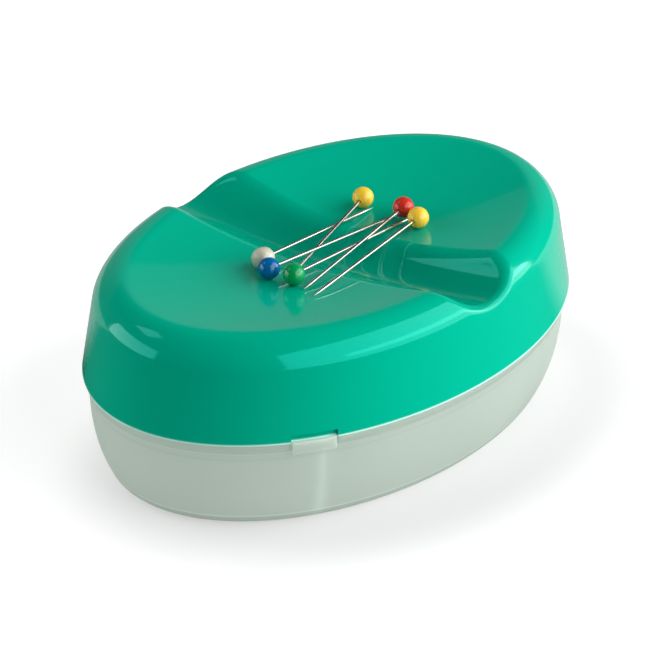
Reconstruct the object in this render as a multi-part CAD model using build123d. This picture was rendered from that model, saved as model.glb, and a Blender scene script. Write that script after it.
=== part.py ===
"""Magnetic pin box: an oval box with a dished lid that holds sewing pins over a hidden magnet.

The box stands on its flat foot at z = 0. X is the long axis of the oval, Y its short axis, Z is up.
All sizes are millimetres. A frosted tray with four compartments carries a glossy lid. The lid's top
is a shallow dish crossed by a finger groove, and a ring magnet sits in a collar under the dish.
Six pins lie on the dish where the magnet holds them, some of them resting on others.
"""
import os
from math import asin, atan2, cos, degrees, hypot, radians, sin, sqrt, tan

from build123d import *

os.makedirs("parts", exist_ok=True)

# Plan of the box: half axes of the oval at the foot of the lid's skirt
half_length = 55.5
half_width = 37.7

# Clearances
seat_gap = 0.1
lip_gap = 0.2
tab_gap = 0.2
partition_gap = 0.3
magnet_gap = 0.15
cover_fit_gap = 0.03
bore_gap = 0.02
touch_gap = 0.05
overrun = 2.0

# Tray
tray_height = 17.2
tray_wall = 1.4
tray_floor = 1.6
tray_rim_inset = 0.8
rim_band_height = 1.9
rim_band_proud = 0.3
tray_foot_inset = 3.2
tray_foot_power = 3
tray_corner_radius = 1.2
tray_section_shares = (0.0, 0.15, 0.35, 0.6, 0.8, 1.0)
foot_recess_depth = 0.4
foot_ring_width = 4.0

# Partitions: a spine along X and four arms from its ends to the wall, one to each quarter
partition_top_width = 0.7
partition_foot_width = 1.6
spine_half_length = 21.5
arm_angle = 46.5

# Closing tabs on the tray's rim, two that face each other across the box
tab_angle = 43.9
tab_width = 7.9
tab_rise = 0.3
tab_thickness = 1.2
tab_lip_thickness = 0.65
tab_slot_width = 0.65

# Lid
lid_wall = 1.8
lid_draft = 9.8
lid_edge_height = 19.1
shoulder_radius = 6.0
shoulder_step_angles = (40.0, 70.0)
dish_sag = 5.4
lip_depth = 2.9
lip_wall = 1.3
ledge_height = 2.5
notch_height = 1.4

# Finger groove across the lid: an arched round-bottomed channel
groove_radius = 10.5
groove_arch_radius = 241.0
groove_depth = 2.9
groove_edge_radius = 1.5

# Magnet, its collar and its cover
magnet_radius = 15.0
magnet_bore_radius = 5.0
magnet_height = 5.0
collar_wall = 1.4
seat_rib_width = 1.2
seat_rib_reach = 4.0
seat_rib_count = 4
cover_plug_depth = 1.5
cover_flange = 1.2
cover_edge_radius = 0.4

# Pins
wire_radius = 0.3
point_length = 3.0
point_radius = 0.04
head_radius = 2.0
long_pin_length = 35.6
short_pin_share = 0.9073
pearl_flat_radius = 1.0
wire_seat_depth = 0.8

# Places of the pins: head place as shares of the long pin's length, heading in degrees, and the
# pins that each one lies over, in the order in which they were dropped
pin_place_shares = {
    "green": (-0.4849, -0.1218),
    "white": (-0.4256, 0.1197),
    "far_yellow": (0.4630, 0.1472),
    "blue": (-0.5036, 0.0212),
    "red": (0.4747, -0.1054),
    "near_yellow": (0.4287, -0.2330),
}
pin_heading_angles = {
    "green": -1.5,
    "white": -1.6,
    "far_yellow": -167.3,
    "blue": -5.0,
    "red": -173.9,
    "near_yellow": -175.5,
}
pin_lies_over = {
    "green": (),
    "white": (),
    "far_yellow": ("white",),
    "blue": ("far_yellow",),
    "red": ("green",),
    "near_yellow": (),
}
pin_head_lies_on = {"red": ("green", "blue")}
short_pins = ("white", "far_yellow")
settling_rounds = 8

# Heights worked out from the sizes above
band_foot_z = tray_height - rim_band_height
lid_foot_z = tray_height + seat_gap
lid_edge_z = lid_foot_z + lid_edge_height
wall_slope = tan(radians(lid_draft))
lid_edge_inset = lid_edge_height * wall_slope
lip_foot_z = lid_foot_z - lip_depth
partition_top_z = lip_foot_z - partition_gap
dish_z = lid_edge_z - dish_sag

# The dish is a ball stretched along X until it meets the lid's wall all the way round
dish_edge_half_width = half_width - lid_edge_inset
dish_stretch = (half_length - lid_edge_inset) / dish_edge_half_width
dish_radius = (dish_edge_half_width**2 + dish_sag**2) / (2 * dish_sag)
dish_axis_z = dish_z + dish_radius

# Middle of the shoulder's rounding across the box, where it touches both the wall and the dish
shoulder_line = half_width - shoulder_radius / cos(radians(lid_draft))
shoulder_line -= (dish_axis_z - lid_foot_z) * wall_slope
shoulder_reach = dish_radius + shoulder_radius
shoulder_drop = sqrt((1 + wall_slope**2) * shoulder_reach**2 - shoulder_line**2)
shoulder_drop = (shoulder_drop - shoulder_line * wall_slope) / (1 + wall_slope**2)
shoulder_y = shoulder_line + shoulder_drop * wall_slope
shoulder_z = dish_axis_z - shoulder_drop

groove_floor_z = dish_z - groove_depth
groove_pivot_z = groove_floor_z + groove_radius + groove_arch_radius
magnet_top_z = groove_floor_z - lid_wall - touch_gap
magnet_foot_z = magnet_top_z - magnet_height
collar_foot_z = magnet_foot_z - cover_plug_depth
collar_bore_radius = magnet_radius + magnet_gap
collar_radius = collar_bore_radius + collar_wall


def oval(inset, z):
    """The box's oval, drawn in from the lid's skirt by inset, at height z."""
    return Pos(0, 0, z) * Ellipse(half_length - inset, half_width - inset)


def oval_block(inset, z_low, z_high):
    """An upright oval block between two heights."""
    return extrude(oval(inset, z_low), z_high - z_low)


def dish_cap(skin):
    """The foot of the stretched ball that hollows the dish, grown by a skin thickness."""
    ball = Rot(0, -90, 0) * Sphere(dish_radius + skin)
    side = dish_edge_half_width + 2 * overrun + skin
    foot = Pos(0, 0, -dish_radius) * Cylinder(side, 2 * (dish_sag + 2 * overrun + skin))
    return Pos(0, 0, dish_axis_z) * scale(ball & foot, by=(dish_stretch, 1, 1))


def groove_tube(skin):
    """The arched tube that hollows the finger groove, grown by a skin thickness."""
    half_sweep = degrees(asin((half_width + overrun) / groove_arch_radius))
    section = Plane.XZ * Pos(0, -groove_arch_radius) * Circle(groove_radius + skin)
    tube = Rot(-half_sweep, 0, 0) * revolve(section, Axis.X, 2 * half_sweep)
    return Pos(0, 0, groove_pivot_z) * tube


def lid_form():
    """The lid's outside before the groove: drafted wall, rounded shoulder and dish."""
    top = oval((lid_edge_height + overrun) * wall_slope, lid_edge_z + overrun)
    form = loft([oval(0, lid_foot_z), top], ruled=True) - dish_cap(0)
    brow = form.edges().sort_by(Axis.Z)[-1]
    return fillet(brow, shoulder_radius)


def lid_room():
    """The lid's inside: up the wall from the ledge, round the shoulder and below the dish's skin."""
    room_radius = shoulder_radius - lid_wall
    ledge_inset = lid_wall / cos(radians(lid_draft)) + ledge_height * wall_slope
    sections = [oval(ledge_inset, lid_foot_z + ledge_height)]
    for angle in (lid_draft, *shoulder_step_angles):
        reach = room_radius * cos(radians(angle))
        rise = room_radius * sin(radians(angle))
        sections.append(oval(half_width - shoulder_y - reach, shoulder_z + rise))
    return loft(sections, ruled=True) - dish_cap(lid_wall) - groove_tube(lid_wall)


def place_round_oval(angle):
    """Frame on the skirt's oval at an angle round it, its X axis pointing straight out."""
    turn = radians(angle)
    x = half_length * cos(turn)
    y = half_width * sin(turn)
    outward = degrees(atan2(y / half_width**2, x / half_length**2))
    return Pos(x, y, 0) * Rot(0, 0, outward)


def rim_blocks(depth, width, z_low, z_high):
    """Two blocks that follow the skirt's face round the oval, one at each tab."""
    ring = oval_block(0, z_low, z_high) - oval_block(depth, z_low - overrun, z_high + overrun)
    places = [place_round_oval(angle) for angle in (tab_angle, tab_angle + 180)]
    windows = [place * Box(2 * overrun + 2 * depth, width, 2 * lid_edge_z) for place in places]
    return [ring & window for window in windows]


def tray_inset(z, skin):
    """How far the tray's wall is drawn in at a height, steeply so near the foot."""
    depth_share = 1 - z / tray_height
    return tray_rim_inset + rim_band_proud + tray_foot_inset * depth_share**tray_foot_power + skin


def tray_form(skin, z_low, z_high):
    """The tray's tapering bowl between two heights."""
    heights = [z_low + share * (z_high - z_low) for share in tray_section_shares]
    return loft([oval(tray_inset(z, skin), z) for z in heights])


def partition(start, end):
    """A drafted partition wall on the tray's floor between two points in plan."""
    length = hypot(end[0] - start[0], end[1] - start[1])
    foot_z = tray_floor - touch_gap
    section = Polygon(
        (-partition_foot_width / 2, foot_z),
        (partition_foot_width / 2, foot_z),
        (partition_top_width / 2, partition_top_z),
        (-partition_top_width / 2, partition_top_z),
        align=None,
    )
    along = Plane(
        origin=(start[0], start[1], 0),
        x_dir=(start[1] - end[1], end[0] - start[0], 0),
        z_dir=(end[0] - start[0], end[1] - start[1], 0),
    )
    upright = along if along.y_dir.Z > 0 else Plane(along.origin, -along.x_dir, along.z_dir)
    return extrude(upright * section, length)


def make_tray():
    """Frosted tray: bowl, rim band, two tabs and the partitions that make four compartments."""
    bowl = tray_form(0, 0, band_foot_z)
    bowl = fillet(bowl.edges().sort_by(Axis.Z)[0], tray_corner_radius)
    tray = bowl + oval_block(tray_rim_inset, band_foot_z, tray_height)

    # Slots part the rim band from the tabs, which stand out to the face of the lid's skirt
    slot_depth = tray_inset(band_foot_z, 0)
    for slot in rim_blocks(slot_depth, tab_width + 2 * tab_slot_width, band_foot_z, tray_height + overrun):
        tray -= slot
    for tab in rim_blocks(tab_thickness, tab_width, band_foot_z, tray_height):
        tray += tab
    for lip in rim_blocks(tab_lip_thickness, tab_width, band_foot_z, tray_height + tab_rise):
        tray += lip

    hollow = tray_form(tray_wall, tray_floor, band_foot_z)
    hollow += oval_block(tray_inset(band_foot_z, tray_wall), band_foot_z, tray_height + overrun)
    tray -= hollow

    # Arms run out from the spine's ends to the wall
    core = tray_form(tray_wall / 2, tray_floor - touch_gap, band_foot_z)
    walls = partition((-spine_half_length, 0), (spine_half_length, 0))
    for angle in (arm_angle, 180 - arm_angle, 180 + arm_angle, -arm_angle):
        place = place_round_oval(angle).position
        fork = (spine_half_length if place.X > 0 else -spine_half_length, 0)
        walls += partition(fork, (place.X, place.Y))
    tray += walls & core

    recess = oval_block(tray_inset(0, foot_ring_width), -overrun, foot_recess_depth)
    return tray - recess


def make_lid():
    """Glossy lid: dished top, finger groove, skirt notches, locating lip and magnet collar."""
    shell = lid_form() - groove_tube(0)
    groove_edges = [edge for edge in shell.edges() if on_groove(edge)]
    shell = fillet(groove_edges, groove_edge_radius)

    lip_inset = tray_inset(band_foot_z, tray_wall) + lip_gap
    shell += oval_block(lip_inset, lip_foot_z, lid_foot_z)

    room = lid_room()
    collar = Cylinder(collar_radius, 2 * lid_edge_height)
    collar -= Cylinder(collar_bore_radius, 2 * lid_edge_height + overrun)
    collar = Pos(0, 0, collar_foot_z + lid_edge_height) * collar
    room -= collar
    for index in range(seat_rib_count):
        room -= seat_rib(index)
    shell -= room
    shell -= oval_block(lip_inset + lip_wall, lip_foot_z - overrun, lid_foot_z + ledge_height)

    # A notch over each tab leaves a slot for a fingernail
    notch_width = tab_width + 2 * tab_gap
    notch_depth = tab_lip_thickness + lip_gap
    for notch in rim_blocks(notch_depth, notch_width, lid_foot_z - overrun, lid_foot_z + notch_height):
        shell -= notch
    return shell


def on_groove(edge):
    """True for an edge that lies on the finger groove's surface."""
    for share in (0.25, 0.5, 0.75):
        point = edge @ share
        reach = groove_arch_radius - hypot(point.Y, point.Z - groove_pivot_z)
        if abs(hypot(point.X, reach) - groove_radius) > touch_gap:
            return False
    return True


def seat_rib(index):
    """A rib inside the collar that the magnet's top face bears on."""
    rib = Box(2 * seat_rib_reach, seat_rib_width, lid_edge_height)
    rib = Pos(collar_bore_radius, 0, magnet_top_z + touch_gap + lid_edge_height / 2) * rib
    return Rot(0, 0, 360 / seat_rib_count * (index + 1 / 2)) * rib


def make_magnet():
    """Ring magnet, sintered and ground flat."""
    ring = Cylinder(magnet_radius, magnet_height) - Cylinder(magnet_bore_radius, 2 * magnet_height)
    return Pos(0, 0, magnet_foot_z + magnet_height / 2) * ring


def make_cover():
    """Cap pressed into the collar, which keeps the magnet against its ribs."""
    plug_depth = cover_plug_depth - touch_gap
    flange = Pos(0, 0, -cover_flange / 2) * Cylinder(collar_radius, cover_flange)
    flange = fillet(flange.edges().sort_by(Axis.Z)[0], cover_edge_radius)
    plug = Pos(0, 0, plug_depth / 2) * Cylinder(collar_bore_radius - cover_fit_gap, plug_depth)
    return Pos(0, 0, collar_foot_z - touch_gap) * (flange + plug)


def dish_height(x, y):
    """Height of the dish's surface over a point in plan."""
    return dish_axis_z - sqrt(dish_radius**2 - (x / dish_stretch) ** 2 - y**2)


def head_height(x, y, head, tip):
    """Height at which a pin head over a point in plan rests on another pin's wire."""
    run = tip - head
    along = ((x - head.X) * run.X + (y - head.Y) * run.Y) / (run.X**2 + run.Y**2)
    beside = hypot(x - head.X - along * run.X, y - head.Y - along * run.Y)
    reach = head_radius + wire_radius + touch_gap
    return head.Z + along * run.Z + sqrt(max(reach**2 - beside**2, 0))


def tip_height(head, tip, lower_head, lower_tip):
    """Height of a pin's tip at which its wire just clears the wire that it crosses."""
    run = tip - head
    lower_run = lower_tip - lower_head
    turn = run.cross(lower_run)
    gap = lower_head - head
    share = (gap.X * lower_run.Y - gap.Y * lower_run.X) / turn.Z
    lower_share = (gap.X * run.Y - gap.Y * run.X) / turn.Z
    lean = turn.length / abs(turn.Z)
    cross_z = lower_head.Z + lower_share * lower_run.Z + (2 * wire_radius + touch_gap) * lean
    return head.Z + (cross_z - head.Z) / share


def lay_pins():
    """Head centre and tip of each pin: the head on the dish, the wire on what it crosses."""
    laid = {}
    for name, (x_share, y_share) in pin_place_shares.items():
        length = long_pin_length * (short_pin_share if name in short_pins else 1)
        heading = radians(pin_heading_angles[name])
        x = x_share * long_pin_length
        y = y_share * long_pin_length
        head_z = dish_height(x, y) + head_radius + touch_gap
        for lower in pin_head_lies_on.get(name, ()):
            head_z = max(head_z, head_height(x, y, *laid[lower]))
        head = Vector(x, y, head_z)
        tip = head + Vector(length * cos(heading), length * sin(heading), 0)
        tip.Z = dish_height(tip.X, tip.Y) + wire_radius + touch_gap
        for lower in pin_lies_over[name]:
            for _ in range(settling_rounds):
                tip.Z = max(tip.Z, tip_height(head, tip, *laid[lower]))
        laid[name] = (head, tip)
    return laid


def make_wire(length):
    """Drawn steel wire with a ground point, its tip at length and its butt inside the head."""
    outline = Polyline(
        (0, -wire_seat_depth),
        (wire_radius, -wire_seat_depth),
        (wire_radius, length - point_length),
        (point_radius, length),
        (0, length),
        close=True,
    )
    return revolve(Plane.XZ * make_face(outline), Axis.Z)


def make_head(name):
    """Moulded pin head round the butt of the wire: a ball, or on the white pin a pearl drum."""
    bore_depth = wire_seat_depth + bore_gap
    bore = Cylinder(wire_radius + bore_gap, 2 * head_radius, align=(Align.CENTER, Align.CENTER, Align.MIN))
    head = Sphere(head_radius)
    if name == "white":
        head = Cylinder(head_radius, 2 * head_radius)
        head = fillet(head.edges().filter_by(GeomType.CIRCLE), head_radius - pearl_flat_radius / 2)
    return head - Pos(0, 0, -bore_depth) * bore


parts = {
    "base_tray": make_tray(),
    "lid_shell": make_lid(),
    "ring_magnet": make_magnet(),
    "magnet_cover": make_cover(),
}

for name, (head, tip) in lay_pins().items():
    run = tip - head
    pose = Plane(origin=head, z_dir=run)
    parts[f"{name}_pin_wire"] = pose * make_wire(run.length)
    parts[f"{name}_pin_head"] = pose * make_head(name)

for name, shape in parts.items():
    export_step(shape, f"parts/{name}.step")
    box = shape.bounding_box()
    print(name, "z", round(box.min.Z, 2), "to", round(box.max.Z, 2))
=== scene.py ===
from math import atan, cos, hypot, pi, radians, remainder, sin, sqrt, tan

import bmesh
import bpy
from mathutils import Matrix, Vector


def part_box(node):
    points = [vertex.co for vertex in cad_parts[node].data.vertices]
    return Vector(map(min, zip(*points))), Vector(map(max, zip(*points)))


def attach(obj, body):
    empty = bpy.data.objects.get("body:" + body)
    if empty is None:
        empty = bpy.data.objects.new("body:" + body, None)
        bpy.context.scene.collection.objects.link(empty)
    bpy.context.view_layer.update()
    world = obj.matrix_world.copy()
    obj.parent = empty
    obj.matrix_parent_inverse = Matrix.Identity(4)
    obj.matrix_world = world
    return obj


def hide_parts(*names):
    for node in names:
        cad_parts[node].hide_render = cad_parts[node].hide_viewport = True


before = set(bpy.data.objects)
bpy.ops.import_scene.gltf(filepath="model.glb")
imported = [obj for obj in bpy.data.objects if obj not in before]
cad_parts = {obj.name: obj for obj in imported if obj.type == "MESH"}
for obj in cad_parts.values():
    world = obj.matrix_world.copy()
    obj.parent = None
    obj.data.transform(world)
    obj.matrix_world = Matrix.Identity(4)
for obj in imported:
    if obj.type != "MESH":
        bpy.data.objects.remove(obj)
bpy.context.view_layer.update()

# Camera: a long lens half a metre away, looking down on the box's front left corner.
# It aims a little below the box's middle, as the photograph does.
camera_from = Vector((-0.7165, -0.5360, 0.4465))
box_middle = Vector((0, 0, 0.022))
camera_distance = 0.5435
aim_left, aim_down = 0.0014, 0.00606

backwards = camera_from.normalized()
to_right = Vector((0, 0, 1)).cross(backwards).normalized()
upwards = backwards.cross(to_right)
place = box_middle + camera_distance * backwards
aim = box_middle - aim_left * to_right - aim_down * upwards
camera = bpy.data.objects.new("camera", bpy.data.cameras.new("camera"))
camera.data.lens = 163.3
camera.data.sensor_width = 36
camera.data.clip_start, camera.data.clip_end = 0.01, 20
camera.location = place
camera.rotation_euler = (place - aim).to_track_quat("Z", "Y").to_euler()
bpy.context.scene.collection.objects.link(camera)
bpy.context.scene.camera = camera
bpy.context.scene.view_settings.view_transform = "Standard"


# Studio light: soft boxes at the right, with a brighter core, at the left and high up at the left,
# and three fills that only matt surfaces show. Each spans bearings, counted clockwise from straight
# behind the box as the camera sees it, and elevations.
to_back = Vector((-backwards.x, -backwards.y, 0)).normalized()
watts_per_radiance = 4


def soft_box(name, bearings, elevations, radiance, distance):
    """An upright area lamp, in degrees and metres as seen from the box."""
    middle, half_span = sum(bearings) / 2, (bearings[1] - bearings[0]) / 2
    outwards = cos(radians(middle)) * to_back + sin(radians(middle)) * to_right
    foot, top = (distance * tan(radians(elevation)) for elevation in elevations)
    lamp = bpy.data.lights.new(name, "AREA")
    lamp.shape = "RECTANGLE"
    lamp.size, lamp.size_y = 2 * distance * tan(radians(half_span)), top - foot
    lamp.energy = watts_per_radiance * radiance * lamp.size * lamp.size_y
    stand = bpy.data.objects.new(name, lamp)
    stand.location = box_middle + distance * outwards + Vector((0, 0, (foot + top) / 2))
    stand.rotation_euler = outwards.to_track_quat("Z", "Y").to_euler()
    bpy.context.scene.collection.objects.link(stand)
    return stand


soft_box("right_box", (60, 158.5), (0, 57), radiance=2.35, distance=0.70)
soft_box("right_core", (60, 133), (12, 22), radiance=2.6, distance=0.66)
soft_box("left_box", (-118, -66), (-1.5, 25), radiance=2.1, distance=0.70)
soft_box("high_left_box", (-88, -61), (43, 56), radiance=1.6, distance=0.60)
for matt_light in (soft_box("left_fill", (-110, -45), (0, 30), radiance=2.0, distance=0.60),
                   soft_box("low_right_fill", (55, 125), (0, 30), radiance=1.6, distance=0.60),
                   soft_box("back_right_fill", (0, 75), (12, 42), radiance=2.1, distance=0.60)):
    matt_light.visible_glossy = False


# Cards: white card below the box, cut round at its near edge, and a sheet of paper hanging far
# behind it. The camera sees both glow enough to read as white. Gloss sees the card dark in front
# of the box and pale behind it, and a faint glow low on the paper.
class Channel:
    """A shader socket, on which sums, differences, products and quotients add Math nodes."""

    def __init__(self, finish, socket):
        self.finish, self.socket = finish, socket

    def work(self, operation, first, second):
        return self.finish.node("ShaderNodeMath", {"operation": operation}, {0: first, 1: second})

    def __add__(self, other):
        return self.work("ADD", self, other)

    def __sub__(self, other):
        return self.work("SUBTRACT", self, other)

    def __rsub__(self, other):
        return self.work("SUBTRACT", other, self)

    def __mul__(self, other):
        return self.work("MULTIPLY", self, other)

    def __truediv__(self, other):
        return self.work("DIVIDE", self, other)

    __radd__ = __add__
    __rmul__ = __mul__


class Finish:
    """A material, or the world, whose nodes are added one by one."""

    def __init__(self, owner):
        owner.use_nodes = True
        self.owner = owner
        self.tree = owner.node_tree
        self.shader = next((n for n in self.tree.nodes if n.type == "BSDF_PRINCIPLED"), None)

    def node(self, kind, settings=None, inputs=None, output=0):
        made = self.tree.nodes.new(kind)
        for key, value in (settings or {}).items():
            if key == "stops":
                stops = made.color_ramp.elements
                stops[0].position, stops[0].color = value[0]
                stops[-1].position, stops[-1].color = value[-1]
                for position, color in value[1:-1]:
                    stops.new(position).color = color
            else:
                setattr(made, key, value)
        for key, value in (inputs or {}).items():
            self.feed(made.inputs[key], value)
        return Channel(self, made.outputs[output])

    def vector(self, operation, *values, output="Value"):
        return self.node("ShaderNodeVectorMath", {"operation": operation},
                         dict(enumerate(values)), output)

    def fade(self, value, low, high, at_low, at_high, **settings):
        """Passes from one number to another while a value crosses a range."""
        return self.node("ShaderNodeMapRange", settings,
                         {0: value, 1: low, 2: high, 3: at_low, 4: at_high})

    def rays(self):
        """Masks for what the camera sees directly and for what gloss reflects."""
        return (self.node("ShaderNodeLightPath", output="Is Camera Ray"),
                self.node("ShaderNodeLightPath", output="Is Glossy Ray"))

    def feed(self, socket, value):
        if isinstance(value, Channel):
            self.tree.links.new(value.socket, socket)
        else:
            socket.default_value = value

    def shade(self, **sockets):
        """Links or sets the shader's own sockets."""
        for key, value in sockets.items():
            self.feed(self.shader.inputs[key.replace("_", " ")], value)


def chain(bm, points, closed=False):
    """Edges that join new points one after the other."""
    verts = [bm.verts.new(point) for point in points]
    nexts = verts[1:] + verts[:1] if closed else verts[1:]
    return [bm.edges.new(pair) for pair in zip(verts, nexts)]


def kinds(parts):
    """Sorts what an operator gives back into vertices, edges and faces."""
    return [[part for part in parts if isinstance(part, kind)]
            for kind in (bmesh.types.BMVert, bmesh.types.BMEdge, bmesh.types.BMFace)]


def extruded(bm, edges):
    """Extrudes edges where they are, and gives the new vertices, edges and faces."""
    return kinds(bmesh.ops.extrude_edge_only(bm, edges=edges)["geom"])


def shown(bm, name, crease=50):
    """Makes an object at the origin from a finished bmesh, smooth but for its sharp corners."""
    for face in bm.faces:
        face.smooth = True
    for edge in bm.edges:
        edge.smooth = edge.calc_face_angle(0) < radians(crease)
    for layer in bm.verts.layers.float.values():
        bm.verts.layers.float.remove(layer)
    mesh = bpy.data.meshes.new(name)
    bm.to_mesh(mesh)
    bm.free()
    made = bpy.data.objects.new(name, mesh)
    bpy.context.scene.collection.objects.link(made)
    return made


card_radius, paper_distance, half_paper, paper_height = 0.178, 1.5, 2.2, 0.76
card = bmesh.new()
near_edge = [(card_radius * sin(radians(turn)), -card_radius * cos(radians(turn)))
             for turn in range(-90, 91, 6)]
near_edge = [(-half_paper, 0), *near_edge, (half_paper, 0)]
rail = chain(card, [right * to_right + back * to_back for right, back in near_edge])
for vert in extruded(card, rail)[0]:
    vert.co += (paper_distance - vert.co.dot(to_back)) * to_back
bmesh.ops.recalc_face_normals(card, faces=card.faces)
card_piece = shown(card, "white_card")

# In gloss the card turns from dark to pale across the sides of a wedge that opens backwards
card_grey, grey_in_front, grey_behind, half_turnover = 0.50, 0.05, 0.45, 0.008
wedge_slope, wedge_skew = 0.45, 0.10
card_finish = Finish(bpy.data.materials.new("white_card"))
here = card_finish.node("ShaderNodeTexCoord", output="Object")
seen, in_gloss = card_finish.rays()
back = card_finish.vector("DOT_PRODUCT", here, to_back)
right = card_finish.vector("DOT_PRODUCT", here, to_right)
beside = card_finish.node("ShaderNodeMath", {"operation": "ABSOLUTE"}, {0: right})
behind = back - wedge_slope * beside - wedge_skew * right
mirrored = card_finish.fade(behind, -half_turnover, half_turnover, grey_in_front, grey_behind)

# Painted shadow round the box's foot: the card glows less at the box, measured in ovals of about
# the box's size set a little forwards
ovals_per_metre, oval_shift = (18.0, 26.5, 0), (0, 0.32, 0)
painted_shadow_glow, glow_beyond_painted_shadow, more_glow_far_off = 0.30, 0.68, 0.35
ovals_out = card_finish.vector("MULTIPLY_ADD", here, ovals_per_metre, oval_shift, output="Vector")
ovals_out = card_finish.vector("LENGTH", ovals_out)
glow = card_finish.fade(ovals_out, 0.85, 1.40, painted_shadow_glow, glow_beyond_painted_shadow,
                        interpolation_type="SMOOTHSTEP")
far_glow = card_finish.fade(ovals_out, 3.5, 12.0, 0.0, more_glow_far_off)
card_finish.shade(Base_Color=card_grey - (card_grey - mirrored) * in_gloss, Roughness=0.9,
                  Specular_IOR_Level=0.0, Emission_Color=seen * (glow + far_glow),
                  Emission_Strength=1.0)
card_piece.data.materials.append(card_finish.owner)

paper = bmesh.new()
hem = chain(paper, [side * half_paper * to_right + paper_distance * to_back for side in (-1, 1)])
for vert in extruded(paper, hem)[0]:
    vert.co.z = paper_height
paper_piece = shown(paper, "hanging_paper")
glow_left, glow_height, glow_core, glow_reach, glow_in_gloss = 0.25, 0.05, 0.20, 0.72, 0.10
paper_finish = Finish(bpy.data.materials.new("hanging_paper"))
here = paper_finish.node("ShaderNodeTexCoord", output="Object")
seen, in_gloss = paper_finish.rays()
glow_middle = paper_distance * to_back - glow_left * to_right + Vector((0, 0, glow_height))
away = paper_finish.vector("DISTANCE", here, glow_middle)
glow = paper_finish.fade(away, glow_core, glow_reach, glow_in_gloss, 0.0)
paper_finish.shade(Base_Color=(0.3, 0.3, 0.3, 1), Roughness=0.9, Specular_IOR_Level=0.0,
                   Emission_Color=seen + in_gloss * glow, Emission_Strength=1.0)
paper_piece.data.materials.append(paper_finish.owner)

# Room: the space round the cards. It is white to the camera, a soft fill on matt surfaces, and
# nearly dark where gloss reflects it.
world = bpy.data.worlds.new("studio")
bpy.context.scene.world = world
room = Finish(world)
seen, in_gloss = room.rays()
fill, fill_in_gloss = 0.05, 0.015
strength = seen * (1 - fill) + fill - in_gloss * (fill - fill_in_gloss)
air = room.node("ShaderNodeBackground", {}, {"Color": (1, 1, 1, 1), "Strength": strength})
room_output = next(n for n in room.tree.nodes if n.type == "OUTPUT_WORLD")
room.feed(room_output.inputs["Surface"], air)

# Lid shell: one glossy moulding of green polystyrene. Its drafted wall rolls over a wide shoulder
# into the dish, a finger groove crosses it, and a lip below its skirt drops inside the tray.
half_length, half_width = 0.0555, 0.0377
skirt_foot, lid_brow, draft = 0.0173, 0.0364, radians(9.8)
shoulder_radius, dish_sag, lid_wall = 0.0060, 0.0054, 0.0018
wall_slope = tan(draft)
brow_inset = (lid_brow - skirt_foot) * wall_slope
dish_stretch = (half_length - brow_inset) / (half_width - brow_inset)
dish_radius = ((half_width - brow_inset) ** 2 + dish_sag**2) / (2 * dish_sag)
dish_middle = lid_brow - dish_sag + dish_radius


def dish(x, y, skin=0.0):
    """Height of the dish, or of the underside of its skin."""
    return dish_middle - sqrt((dish_radius + skin) ** 2 - (x / dish_stretch) ** 2 - y**2)


def shoulder_centre(half, stretch):
    """Middle of the shoulder's rounding in a cut across the lid, and the dish's lean there."""
    low, high = half / 2, half
    for _ in range(40):
        x = (low + high) / 2
        rise = sqrt(dish_radius**2 - (x / stretch) ** 2)
        lean = atan(x / stretch**2 / rise)
        out, up = x + shoulder_radius * sin(lean), dish_middle - rise - shoulder_radius * cos(lean)
        clear = (half - out - (up - skirt_foot) * wall_slope) * cos(draft) > shoulder_radius
        low, high = (x, high) if clear else (low, x)
    return out, up, lean


end_cut = shoulder_centre(half_length, dish_stretch)
side_cut = shoulder_centre(half_width, 1)


def shoulder_ring(share, skin):
    """Reach and height of the shoulder at the lid's ends and sides, part way from wall to dish."""
    radius = shoulder_radius - skin
    turns = [draft + share * (pi / 2 + lean - draft) for _, _, lean in (end_cut, side_cut)]
    reach = [cut[0] + radius * cos(turn) for cut, turn in zip((end_cut, side_cut), turns)]
    height = [cut[1] + radius * sin(turn) for cut, turn in zip((end_cut, side_cut), turns)]
    return (*reach, *height)


def oval_ring(inset, z):
    """Reach and height of a level oval drawn in from the skirt."""
    return half_length - inset, half_width - inset, z, z


def dish_ring(share, skin):
    """Reach of a ring in the dish, as a share of where the shoulder meets it."""
    edge = shoulder_ring(1, skin)
    return share * edge[0], share * edge[1], skin


# Turns round the oval, worked out from the widths of a tab, of the notch over it and of its slot
tab_turn, tab_width, tab_gap, tab_slot = radians(43.9), 0.0079, 0.0002, 0.00065
turn_reach = hypot(half_length * sin(tab_turn), half_width * cos(tab_turn))
half_tab, half_notch, half_slot = (
    width / 2 / turn_reach
    for width in (tab_width, tab_width + 2 * tab_gap, tab_width + 2 * tab_slot))
corner_turn = radians(0.14)


def on_ring(ring, turn, dent):
    """Point at a turn on a ring of two reaches, and of two heights or a depth under the dish.

    A dent draws a ring in at both tabs. It has half its width as a turn, an inset and two heights.
    """
    reach_x, reach_y = ring[:2]
    half_dent, inset, low, high = dent
    if low <= ring[2] <= high and abs(remainder(turn - tab_turn, pi)) < half_dent:
        reach_x, reach_y = min(reach_x, half_length - inset), min(reach_y, half_width - inset)
    x, y = reach_x * cos(turn), reach_y * sin(turn)
    if len(ring) == 3:
        return Vector((x, y, dish(x, y, ring[2])))
    return Vector((x, y, ring[2] * cos(turn) ** 2 + ring[3] * sin(turn) ** 2))


no_dent = (0, 0, 1, 0)


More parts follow.
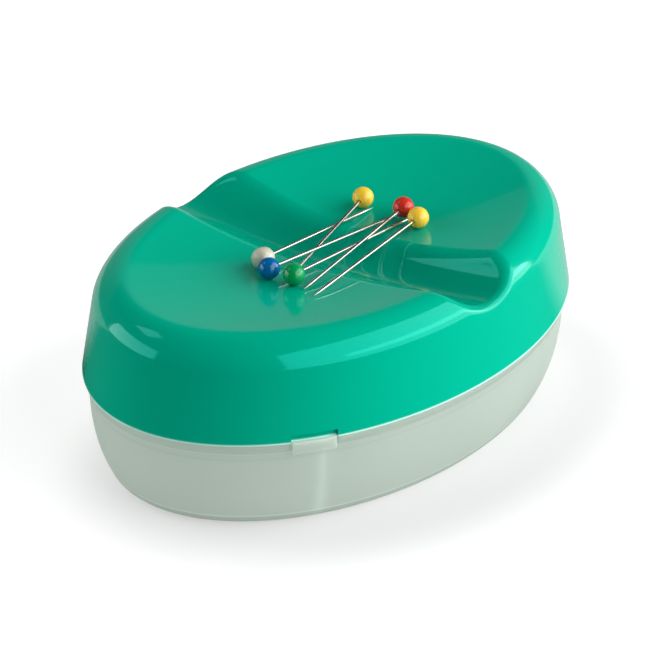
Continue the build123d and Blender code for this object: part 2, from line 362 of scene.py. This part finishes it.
def start_ring(bm, ring, count, dent=no_dent):
    """A closed oval of edges to carry a skin from. Each point keeps its turn in a layer."""
    turns = bm.verts.layers.float.get("turn") or bm.verts.layers.float.new("turn")
    verts = bmesh.ops.create_circle(bm, segments=count, radius=1)["verts"]
    for step, vert in enumerate(verts):
        vert[turns] = 2 * pi * step / count
    for end in (-dent[0], dent[0]) if dent[0] else ():
        for tab in (tab_turn, tab_turn + pi):
            column = int((tab + end) * count / (2 * pi))
            verts[column][turns] = tab + end - corner_turn / 2
            verts[column + 1][turns] = tab + end + corner_turn / 2
    for vert in verts:
        vert.co = on_ring(ring, vert[turns], dent)
    return list({edge for vert in verts for edge in vert.link_edges})


def carry(bm, rail, rings, dent=no_dent):
    """Carries a rail of edges through rings, and leaves it on the last one."""
    turns = bm.verts.layers.float["turn"]
    for ring in rings:
        verts, rail, _ = extruded(bm, rail)
        for vert in verts:
            vert.co = on_ring(ring, vert[turns], dent)
    return rail


groove_radius, groove_arch, groove_depth, groove_edge = 0.0105, 0.241, 0.0029, 0.0015
groove_pivot = dish(0, 0) - groove_depth + groove_radius + groove_arch


def press_groove(verts, radius, rounding, side):
    """Presses points of a skin down to the finger groove's arched tube, with a rounded edge."""
    for vert in verts:
        start, out = vert.co.copy(), side * vert.normal
        spot = start.copy()
        for _ in range(14):
            ray = Vector((0, spot.y, spot.z - groove_pivot))
            level = groove_arch - ray.length
            away = Vector((spot.x, 0, 0)) - level * ray.normalized()
            inside = radius - away.length
            if inside < -rounding:
                break
            a = max((spot - start).dot(out) + rounding, 0)
            b = max(inside + rounding, 0)
            reach = hypot(a, b)
            deep = min(-rounding, max(a, b) - rounding) + reach
            spot -= deep * (a * out - b * away.normalized()) / max(reach, 1e-9)
        vert.co = spot


def skin_height(x, y):
    """Height of the dish, or of the groove where that lies lower."""
    if abs(x) >= groove_radius:
        return dish(x, y)
    groove = groove_pivot - sqrt(groove_arch**2 - y**2) - sqrt(groove_radius**2 - x**2)
    return min(dish(x, y), groove)


lid = bmesh.new()
ring_count, hair = 360, 0.00001
notch_roof, notch_depth, lip_foot, ledge = 0.0187, 0.00085, 0.0144, 0.0198
lip_inset, lip_wall, rolled = 0.002704, 0.0013, 0.0003
notch = (half_notch, notch_depth, skirt_foot - hair, notch_roof + hair)
rolls = [oval_ring(rolled * (1 - sin(radians(turn))),
                   skirt_foot + rolled * (1 - cos(radians(turn)))) for turn in (45, 67)]
first_roll = oval_ring(rolled * (1 - sin(radians(22))), skirt_foot + 2 * hair)
foot_rail = start_ring(lid, first_roll, ring_count, notch)

# Outside: wall with a notch over each tab, shoulder and dish, closed in the middle
wall_top = side_cut[1] - 0.0022
heights = [skirt_foot + rolled, 0.0181, notch_roof - 0.00012, notch_roof, notch_roof + 0.00006,
           notch_roof + 0.0002, 0.0205, 0.0225, 0.0245, wall_top]
rings = rolls + [oval_ring((z - skirt_foot) * wall_slope, z) for z in heights]
rings += [tuple(a + step / 8 * (b - a) for a, b in zip(ring, shoulder_ring(0, 0)))
          for ring in rings[-1:] for step in range(1, 8)]
rings += [shoulder_ring(step / 26, 0) for step in range(27)]
rings += [dish_ring(1 - step / 44, 0) for step in range(1, 44)] + [dish_ring(0.008, 0)]
rail = carry(lid, foot_rail, rings, notch)
bmesh.ops.contextual_create(lid, geom=rail)
outer = set(lid.faces)

# Underside: skirt foot, lip, ledge, then the room's wall, shoulder and the back of the dish
rings = [oval_ring(inset, z) for inset, z in (
    (rolled, skirt_foot), (notch_depth, skirt_foot), (lip_inset, skirt_foot), (lip_inset, lip_foot),
    (lip_inset + lip_wall, lip_foot), (lip_inset + lip_wall, ledge))]
rings += [oval_ring(lid_wall / cos(draft) + (z - skirt_foot) * wall_slope, z)
          for z in (ledge, 0.0225, 0.025, wall_top)]
rings += [shoulder_ring(step / 9, lid_wall) for step in range(10)]
rings += [dish_ring(1 - step / 24, lid_wall) for step in range(1, 24)] + [dish_ring(0.01, lid_wall)]
rail = carry(lid, foot_rail, rings, notch)
bmesh.ops.contextual_create(lid, geom=rail)
bmesh.ops.recalc_face_normals(lid, faces=lid.faces)

# Lines along the groove's edges, then both skins are pressed down round it
cuts_from, cuts_to, first_cut, cut_spacing, cut_count = 0.004, 0.0125, 0.0060, 0.00025, 19
for side in (-1, 1):
    for step in range(cut_count):
        near = [f for f in outer if f.is_valid and f.calc_center_median().z > wall_top
                and cuts_from < side * f.calc_center_median().x < cuts_to]
        part = {v for f in near for v in f.verts} | {e for f in near for e in f.edges} | set(near)
        spot = (side * (first_cut + cut_spacing * step), 0, 0)
        cut = bmesh.ops.bisect_plane(lid, geom=list(part), plane_co=spot, plane_no=(1, 0, 0))
        outer |= set(kinds(cut["geom"])[2])
lid.normal_update()
outer_verts = {v for f in outer if f.is_valid for v in f.verts}
press_groove(outer_verts, groove_radius, groove_edge, 1)
press_groove(set(lid.verts) - outer_verts, groove_radius + lid_wall, rolled, -1)

# Collar that holds the magnet, with four ribs inside it that the magnet bears on
collar_bore, collar_side, collar_foot = 0.01515, 0.01655, 0.01975
rib_foot, rib_length, rib_thickness, rib_sink = 0.0263, 0.0040, 0.0012, 0.0015
collar_rail = start_ring(lid, (collar_side, collar_side, collar_foot, collar_foot), 96)
collar = list(collar_rail)
for reach, z in ((collar_side, None), (collar_bore, None), (collar_bore, collar_foot)):
    verts, collar, _ = extruded(lid, collar)
    for vert in verts:
        out = vert.co.xy.normalized() * reach
        vert.co = (*out, skin_height(*out) - 0.5 * lid_wall if z is None else z)
bmesh.ops.bridge_loops(lid, edges=collar + collar_rail)
for quarter in range(4):
    rib = bmesh.ops.create_cube(lid, size=1)["verts"]
    swing = Matrix.Rotation(radians(45 + 90 * quarter), 4, "Z")
    shift = Matrix.Translation((collar_bore - rib_sink, 0, rib_foot + rib_thickness / 2))
    size = Matrix.Diagonal((rib_length, rib_thickness, rib_thickness, 1))
    bmesh.ops.transform(lid, verts=rib, matrix=swing @ shift @ size)
lid_piece = shown(lid, "lid_moulding")
# The pale band round the skirt's foot is a painted highlight on its rolled edge
green, painted_skirt_highlight = (0.0, 0.37, 0.232), (0.55, 0.95, 0.85)
lid_paint = [(0.0, green), (0.0171, green), (0.0172, painted_skirt_highlight), (0.0176, painted_skirt_highlight),
             (0.01775, green), (0.036, green)]


def moulded(name, paint, roughness, mottle, mottle_size, bump, bump_size, veil=None, **constants):
    """Moulded plastic or metal: a slightly uneven colour and gloss over a fine bump.

    The paint is one colour, or a list of heights and colours where it changes up the piece. A veil
    is a function that darkens or lightens it from place to place; on the lid it paints shade in the
    groove. The noise wavers about a half, so the roughness wavers about the one given. A piece that
    gives off light does so in its colour, as a painted glow.
    """
    finish = Finish(bpy.data.materials.new(name))
    here = finish.node("ShaderNodeTexCoord", output="Object")
    if isinstance(paint, list):
        height = finish.node("ShaderNodeSeparateXYZ", {}, {0: here}, 2)
        top = paint[-1][0]
        stops = [(z / top, (*color, 1)) for z, color in paint]
        paint = finish.node("ShaderNodeValToRGB", {"stops": stops}, {0: height / top})
    else:
        paint = (*paint, 1)
    cloud = finish.node("ShaderNodeTexNoise", {},
                        {"Vector": here, "Scale": 1 / mottle_size, "Detail": 3.0})
    shade = cloud * mottle + (1 - mottle)
    if veil:
        shade = shade * veil(finish, here)
    tint = finish.node("ShaderNodeMix", {"data_type": "RGBA", "blend_type": "MULTIPLY"},
                       {0: 1.0, 6: paint, 7: shade}, 2)
    grain = finish.node("ShaderNodeTexNoise", {},
                        {"Vector": here, "Scale": 1 / bump_size, "Detail": 2.0})
    relief = finish.node("ShaderNodeBump", {}, {"Strength": 1.0, "Distance": bump, "Height": grain})
    finish.shade(Base_Color=tint, Normal=relief,
                 Roughness=cloud * (roughness * 0.5) + roughness * 0.75, **constants)
    if "Emission_Strength" in constants:
        finish.shade(Emission_Color=tint)
    return finish.owner


def groove_painted_shade(finish, here):
    """Painted shade: a deeper green on the groove's floor, fading out up its sides."""
    deepest_painted_shade, deep_half, shaded_half = 0.18, 0.003, 0.009
    x = finish.node("ShaderNodeSeparateXYZ", {}, {0: here}, 0)
    ray = finish.vector("MULTIPLY_ADD", here, (0, 1, 1), (0, 0, -groove_pivot), output="Vector")
    level = groove_arch - finish.vector("LENGTH", ray)
    away = finish.node("ShaderNodeMath", {"operation": "SQRT"}, {0: x * x + level * level})
    pressed = finish.fade(away, groove_radius + 10 * hair, groove_radius + groove_edge, 1.0, 0.0)
    middle = finish.fade(x * x, deep_half**2, shaded_half**2, deepest_painted_shade, 0.0)
    return 1 - pressed * middle


lid_gloss = moulded("lid_plastic", lid_paint, roughness=0.075, mottle=0.03, mottle_size=0.03,
                    bump=0.000002, bump_size=0.005, veil=groove_painted_shade, IOR=1.50,
                    Specular_Tint=(0.05, 1.0, 0.93, 1.0))
lid_piece.data.materials.append(lid_gloss)
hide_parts("lid_shell")
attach(lid_piece, "lid")

# Base tray: one moulding of frosted polypropylene, thin walled and drafted, with a rim band, two
# closing tabs, a floor raised on a foot ring and partitions that make four compartments.
tray_top, band_foot, tray_wall, tray_floor = 0.0172, 0.0153, 0.0014, 0.0016
rim_inset, band_proud, foot_draw, lip = 0.0008, 0.0003, 0.0032, 0.00015
corner, corner_inset, corner_lean = 0.0012, 0.005007, radians(29)
foot_recess, recess_inset = 0.0004, 0.0083


def tray_inset(z):
    """How far the tray's wall is drawn in from the lid's skirt at a height."""
    return rim_inset + band_proud + foot_draw * max(1 - z / tray_top, 0) ** 3


tray = bmesh.new()
slot = (half_slot, tray_inset(band_foot), band_foot - hair, tray_top)
foot_rail = start_ring(tray, oval_ring(corner_inset, 0), ring_count, slot)

# Outside: rounded corner, wall and rim band, then down the inside of the wall to the floor
turns = [-pi / 2 + step / 5 * (pi / 2 - corner_lean) for step in range(1, 6)]
rings = [oval_ring(corner_inset - corner * cos(turn), corner + corner * sin(turn)) for turn in turns]
rings += [oval_ring(tray_inset(z), z)
          for z in (0.0012, 0.002, 0.003, 0.0042, 0.0056, 0.0072, 0.009, 0.011, 0.013, band_foot)]
rings += [oval_ring(rim_inset + lip, band_foot), oval_ring(rim_inset, band_foot + lip),
          oval_ring(rim_inset, tray_top - lip), oval_ring(rim_inset + lip, tray_top)]
inner_rim = tray_inset(band_foot) + tray_wall
rings += [oval_ring(inner_rim - lip, tray_top), oval_ring(inner_rim, tray_top - lip)]
rings += [oval_ring(tray_inset(z) + tray_wall, z)
          for z in (0.0125, 0.010, 0.008, 0.0062, 0.0048, 0.0036, 0.0025)]
rings += [oval_ring(tray_inset(0.0018) + tray_wall + 0.00022, 0.0018),
          oval_ring(tray_inset(0.0016) + tray_wall + 0.0007, tray_floor),
          oval_ring(0.015, tray_floor), oval_ring(0.034, tray_floor)]
rail = carry(tray, foot_rail, rings, slot)
bmesh.ops.contextual_create(tray, geom=rail)
rings = [oval_ring(recess_inset - lip, 0), oval_ring(recess_inset, lip),
         oval_ring(recess_inset + lip, foot_recess), oval_ring(0.020, foot_recess),
         oval_ring(0.034, foot_recess)]
rail = carry(tray, foot_rail, rings, slot)
bmesh.ops.contextual_create(tray, geom=rail)

# Tabs: each a closed band along the rim, with a thin lip that rises in front of the lid's skirt
tab_depth, tab_lip, tab_end = 0.0012, 0.00065, 0.0001
tab_crest, tab_bevel = tray_top + 0.0003, 0.4 * lip
section = [(0, band_foot + lip), (lip, band_foot), (tab_depth, band_foot), (tab_depth, tray_top),
           (tab_lip, tray_top), (tab_lip, tab_crest - tab_bevel), (tab_lip - tab_bevel, tab_crest),
           (lip, tab_crest), (0, tab_crest - lip)]
for tab in (tab_turn, tab_turn + pi):
    loops = []
    for step in range(-7, 8):
        turn, inset = tab + step / 7 * half_tab, tab_end if abs(step) == 7 else 0
        points = [on_ring(oval_ring(max(reach, inset), z), turn, no_dent) for reach, z in section]
        loops.append(chain(tray, points, closed=True))
    for end in (loops[0], loops[-1]):
        tray.faces.new([edge.verts[0] for edge in end])
    for first, second in zip(loops, loops[1:]):
        bmesh.ops.bridge_loops(tray, edges=first + second)

# Partitions: a spine along the box and four arms, each thinner at the top than at the foot
partition_top, spine_end, top_width, foot_width = 0.0141, 0.0215, 0.0007, 0.0016
partition_sink, arm_turn = 0.00005, 46.5


def arm_tip(turn):
    """Where an arm would meet the oval of the lid's skirt."""
    return Vector((half_length * cos(radians(turn)), half_width * sin(radians(turn)), 0))


levels = [tray_floor - partition_sink + step / 8 * (partition_top - tray_floor) for step in range(9)]
walls = [(Vector((-spine_end, 0, 0)), Vector((spine_end, 0, 0)), None)]
for turn in (arm_turn, 180 - arm_turn, 180 + arm_turn, 360 - arm_turn):
    tip = arm_tip(turn)
    out = Vector((tip.x / half_length**2, tip.y / half_width**2, 0)).normalized()
    walls.append((Vector((spine_end if tip.x > 0 else -spine_end, 0, 0)), tip, out))
for start, tip, out in walls:
    along = (tip - start).normalized()
    across = Vector((0, 0, 1)).cross(along)
    end = []
    for z in levels:
        short = (tray_inset(z) + 0.5 * tray_wall) / along.dot(out) if out else 0
        end.append(tip - short * along + Vector((0, 0, z)))
    verts, _, sheet = extruded(tray, chain(tray, end))
    for vert in verts:
        vert.co = start + Vector((0, 0, vert.co.z))
    tray.normal_update()
    thickened = bmesh.ops.solidify(tray, geom=sheet, thickness=0.001)["geom"]
    besides = {vert: (vert.co - start).dot(across)
               for face in sheet + kinds(thickened)[2] for vert in face.verts}
    middle = sum(besides.values()) / len(besides)
    for vert, beside in besides.items():
        height = (vert.co.z - tray_floor) / (partition_top - tray_floor)
        width = foot_width + height * (top_width - foot_width)
        vert.co += ((0.5 if beside > middle else -0.5) * width - beside) * across
bmesh.ops.recalc_face_normals(tray, faces=tray.faces)
tray_piece = shown(tray, "tray_moulding")
# The pale lines at the top of the foot's rounding and at the rim band's lower edge are painted
# highlights; the paint is also darker at the foot, in a line at 14.1 mm and over the rim band
frosted, deep, painted_edge_highlight = (0.29, 0.335, 0.30), (0.265, 0.315, 0.275), (0.39, 0.44, 0.40)
tray_paint = [(0.0, deep), (0.0014, deep), (0.0016, painted_edge_highlight), (0.0019, frosted), (0.0138, frosted),
              (0.0141, deep), (0.0145, frosted), (0.0151, frosted), (0.0153, painted_edge_highlight), (0.0155, deep),
              (0.0169, deep), (0.0171, frosted), (0.018, frosted)]


def arm_lines(finish, here):
    """Paler where a partition's arm meets the wall and shows through it."""
    paler, half_line, half_haze = 1.06, 0.0003, 0.0024
    folded = finish.vector("ABSOLUTE", here, output="Vector")
    start = Vector((spine_end, 0, 0))
    across = Vector((0, 0, 1)).cross((arm_tip(arm_turn) - start).normalized())
    beside = finish.vector("DOT_PRODUCT", folded, across) - start.dot(across)
    beside = finish.node("ShaderNodeMath", {"operation": "ABSOLUTE"}, {0: beside})
    return finish.fade(beside, half_line, half_haze, paler, 1.0)


# The frosted plastic's emission is a painted glow, standing in for light let through its thin walls
frost_with_painted_glow = moulded("frosted_plastic", tray_paint, roughness=0.42, mottle=0.05, mottle_size=0.02,
                bump=0.00001, bump_size=0.0004, veil=arm_lines, Transmission_Weight=0.25,
                Emission_Strength=0.70, Subsurface_Weight=0.8, Subsurface_Radius=(1.0, 1.0, 1.0),
                Subsurface_Scale=0.008, IOR=1.49)
tray_piece.data.materials.append(frost_with_painted_glow)
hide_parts("base_tray")
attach(tray_piece, "tray")

# Magnet and its cover: a sintered ferrite ring, ground on its faces, and a green cap pressed
# into the collar below it. Both keep their CAD shapes and are seen only with the lid off.
ferrite = moulded("ferrite", (0.07, 0.07, 0.072), roughness=0.55, mottle=0.4, mottle_size=0.0012,
                  bump=0.00003, bump_size=0.0004)
cap_gloss = moulded("cap_plastic", (0.0, 0.35, 0.20), roughness=0.22, mottle=0.08,
                    mottle_size=0.006, bump=0.00001, bump_size=0.0006)
for name, finish in (("ring_magnet", ferrite), ("magnet_cover", cap_gloss)):
    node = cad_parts[name]
    node.data.materials.clear()
    node.data.materials.append(finish)

# Pins: bright drawn steel wire with a ground point, pressed into a moulded ball head. The white
# one's head is a slightly barrel-shaped pearl. Each lies where its CAD solids lie.
wire_radius, point_length, point_radius, head_radius = 0.0003, 0.0030, 0.00004, 0.0020
seat_radius, seat_bore, seat_rise, seat_depth = 0.00052, 0.00042, 0.00003, 0.00002
pearl_squareness = 1.25
steel = moulded("pin_steel", (0.60, 0.57, 0.51), roughness=0.28, mottle=0.10, mottle_size=0.002,
                bump=0.000004, bump_size=0.0002, Metallic=1.0)
head_colors = {
    "green": (0.0, 0.28, 0.078),
    "pearl": (0.50, 0.49, 0.39),
    "yellow": (0.88, 0.55, 0.045),
    "blue": (0.0, 0.115, 0.33),
    "red": (0.56, 0.030, 0.016),
}
head_finishes = {
    color: moulded(color + "_head", paint, roughness=0.14, mottle=0.12, mottle_size=0.0015,
                   bump=0.000005, bump_size=0.0005, IOR=1.5)
    for color, paint in head_colors.items()
}


def turned(line, stand, steps, merge):
    """A solid turned from a line of radii and heights, closed at its ends and set on its stand."""
    bm = bmesh.new()
    edges = chain(bm, [(max(x, 1e-6), 0, z) for x, z in line])
    bmesh.ops.spin(bm, geom=[*bm.verts, *edges], axis=(0, 0, 1), cent=(0, 0, 0), steps=steps,
                   angle=2 * pi, use_merge=True)
    bmesh.ops.remove_doubles(bm, verts=bm.verts, dist=merge)
    bmesh.ops.holes_fill(bm, edges=[e for e in bm.edges if e.is_boundary], sides=0)
    bmesh.ops.recalc_face_normals(bm, faces=bm.faces)
    bmesh.ops.transform(bm, matrix=stand, verts=bm.verts)
    return bm


for name in ("green", "white", "far_yellow", "blue", "red", "near_yellow"):
    color = "pearl" if name == "white" else name.split("_")[-1]
    low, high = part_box(name + "_pin_head")
    centre = (low + high) / 2
    wire_points = [v.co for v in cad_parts[name + "_pin_wire"].data.vertices]
    tip = max(wire_points, key=lambda co: (co - centre).length)
    length = (tip - centre).length
    stand = Matrix.Translation(centre) @ (tip - centre).to_track_quat("Z", "Y").to_matrix().to_4x4()

    shaft = length - point_length
    line = [(wire_radius * 0.2, -0.0008)]
    line += [(wire_radius, z) for z in (-0.0007, 0.004, 0.012, 0.022, shaft - 0.0004)]
    line += [(wire_radius * 0.95, shaft + 0.0004), (wire_radius * 0.55, length - 0.0012),
             (point_radius * 1.6, length - 0.0002), (point_radius * 0.5, length)]
    wire_piece = shown(turned(line, stand, steps=24, merge=1e-7), name + "_wire")
    wire_piece.data.materials.append(steel)
    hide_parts(name + "_pin_wire")
    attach(wire_piece, name + "_pin")

    squareness = pearl_squareness if name == "white" else 1.0
    line = []
    for step in range(33):
        turn = -pi / 2 + pi * step / 32
        x, z = cos(turn), sin(turn)
        swell = (abs(x) ** (2 * squareness) + abs(z) ** (2 * squareness)) ** (-0.5 / squareness)
        line.append((head_radius * x * swell, head_radius * z * swell))
    brow = line[-4][1]
    line[-3:] = [(seat_radius, brow + seat_rise), (seat_bore, brow - seat_depth),
                 (wire_radius, brow - 0.0001)]
    head_piece = shown(turned(line, stand, steps=48, merge=3e-6), name + "_head")
    head_piece.data.materials.append(head_finishes[color])
    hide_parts(name + "_pin_head")
    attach(head_piece, name + "_pin")
    color + "_head"
